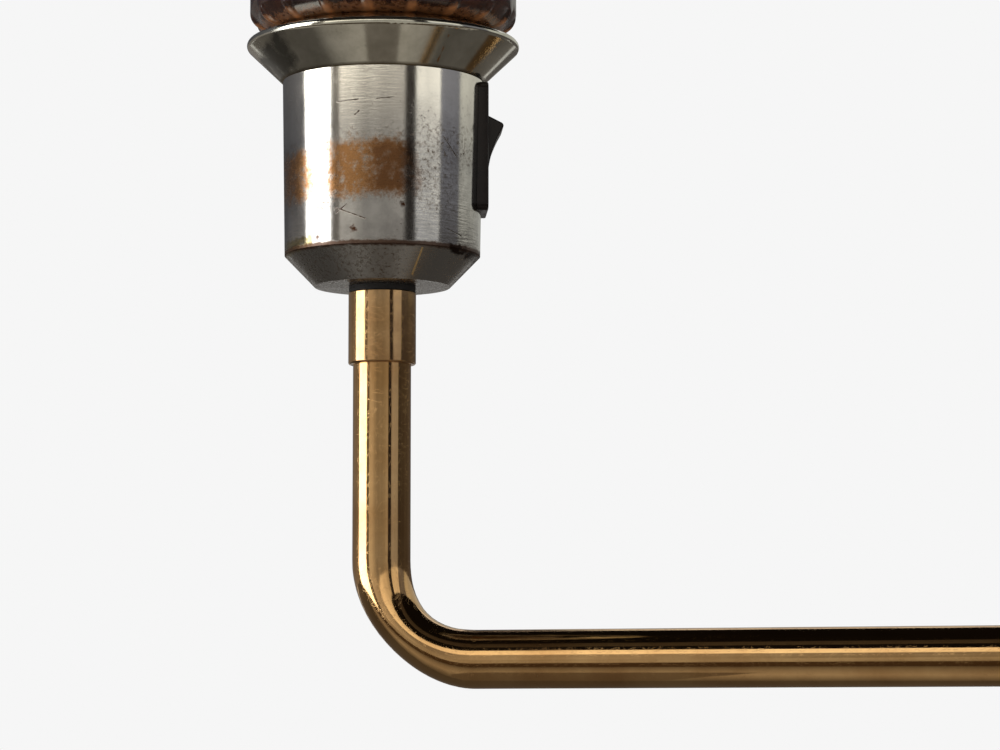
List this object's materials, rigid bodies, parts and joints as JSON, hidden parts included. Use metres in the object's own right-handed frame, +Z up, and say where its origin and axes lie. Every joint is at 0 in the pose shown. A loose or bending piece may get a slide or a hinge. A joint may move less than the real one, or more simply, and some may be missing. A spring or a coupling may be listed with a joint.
{
  "type": "wall sconce",
  "caption": "Brass wall lamp on hinged swing arms, with an upright screw lampholder that has a flared plated cup, a rocker switch on its side and a ribbed brown shade ring.",
  "frame": {"origin": "midway between the strap's two wall-screw slots, in the plane of the wall", "axes": "+Y into the wall, +Z up along the lampholder, +X to the right for someone facing the wall"},
  "size_m": [0.2794, 0.2834, 0.2605],
  "materials": {
    "polished_brass": "polished, lightly tarnished",
    "plain_brass": "as turned or stamped",
    "plated_cup": "polished nickel-chrome plate, worn",
    "zinc_steel": "zinc plated",
    "brown_phenolic": "dark brown phenolic moulding",
    "black_plastic": "black moulding",
    "black_fibre": "black fibre washer",
    "white_moulding": "natural white moulding",
    "porcelain": "glazed porcelain",
    "spring_bronze": "rolled strip"
  },
  "bodies": {
    "wall_bracket": {"block_screw": "zinc_steel", "cable_bush": "black_fibre", "canopy": "polished_brass", "canopy_nipple": "plain_brass", "earth_screw": "zinc_steel", "earth_washer": "zinc_steel", "lock_washer": "zinc_steel", "nipple_locknut": "zinc_steel", "terminal_block": "white_moulding", "terminal_screw_1": "zinc_steel", "terminal_screw_2": "zinc_steel", "terminal_screw_3": "zinc_steel", "terminal_screw_4": "zinc_steel", "terminal_tube_1": "plain_brass", "terminal_tube_2": "plain_brass", "wall_axle": "zinc_steel", "wall_barrel": "polished_brass", "wall_bottom_cap": "polished_brass", "wall_friction_washer": "black_fibre", "wall_post": "polished_brass", "wall_spring_washer": "zinc_steel", "wall_stop_pin": "zinc_steel", "wall_strap": "zinc_steel", "wall_tension_nut": "zinc_steel"},
    "inner_arm": {"inner_barrel": "polished_brass", "inner_top_cap": "polished_brass", "inner_ferrule": "polished_brass", "inner_tube": "polished_brass", "elbow_ferrule": "polished_brass", "elbow_barrel": "polished_brass", "elbow_bottom_cap": "polished_brass", "elbow_axle": "zinc_steel", "elbow_friction_washer": "black_fibre", "elbow_stop_pin": "zinc_steel", "elbow_spring_washer": "zinc_steel", "elbow_tension_nut": "zinc_steel"},
    "outer_arm": {"outer_barrel": "polished_brass", "outer_top_cap": "polished_brass", "outer_ferrule": "polished_brass", "outer_tube": "polished_brass", "end_sleeve": "polished_brass", "holder_nipple": "plain_brass", "insulating_washer": "black_fibre", "holder_nut": "zinc_steel", "holder_cup": "plated_cup", "holder_collar": "plated_cup", "switch_frame": "black_plastic", "switch_housing": "black_plastic", "switch_contact": "plain_brass", "switch_common": "plain_brass", "rocker_pin": "zinc_steel", "lamp_insert": "porcelain", "centre_contact": "spring_bronze", "screw_shell": "plain_brass", "holder_mantle": "brown_phenolic", "insert_screw_1": "zinc_steel", "insert_screw_2": "zinc_steel"},
    "rocker": {"rocker": "black_plastic"},
    "contact_blade": {"contact_blade": "spring_bronze"},
    "shade_ring": {"shade_ring": "brown_phenolic"}
  },
  "joints": [
    {"name": "wall_swing", "type": "hinge", "parent": "wall_bracket", "child": "inner_arm", "pos_m": [0, -0.055, 0.0145], "axis": [0, 0, 1], "range_deg": [-90, 90]},
    {"name": "elbow_swing", "type": "hinge", "parent": "inner_arm", "child": "outer_arm", "pos_m": [0, -0.255, 0.0436], "axis": [0, 0, 1], "range_deg": [-75, 255]},
    {"name": "rocker_tilt", "type": "hinge", "parent": "outer_arm", "child": "rocker", "pos_m": [-0.18474, -0.25004, 0.16259], "axis": [-0.309, 0.9511, 0], "range_deg": [-24, 0]},
    {"name": "contact_tilt", "type": "hinge", "parent": "outer_arm", "child": "contact_blade", "pos_m": [-0.19064, -0.25196, 0.16259], "axis": [-0.309, 0.9511, 0], "range_deg": [0, 16]},
    {"name": "ring_lift", "type": "slide", "parent": "outer_arm", "child": "shade_ring", "axis": [0, 0, 1], "range_m": [0, 0.022]}
  ],
  "couplings": [
    {"joint": "contact_tilt", "follows": "rocker_tilt", "ratio": -0.6666}
  ]
}
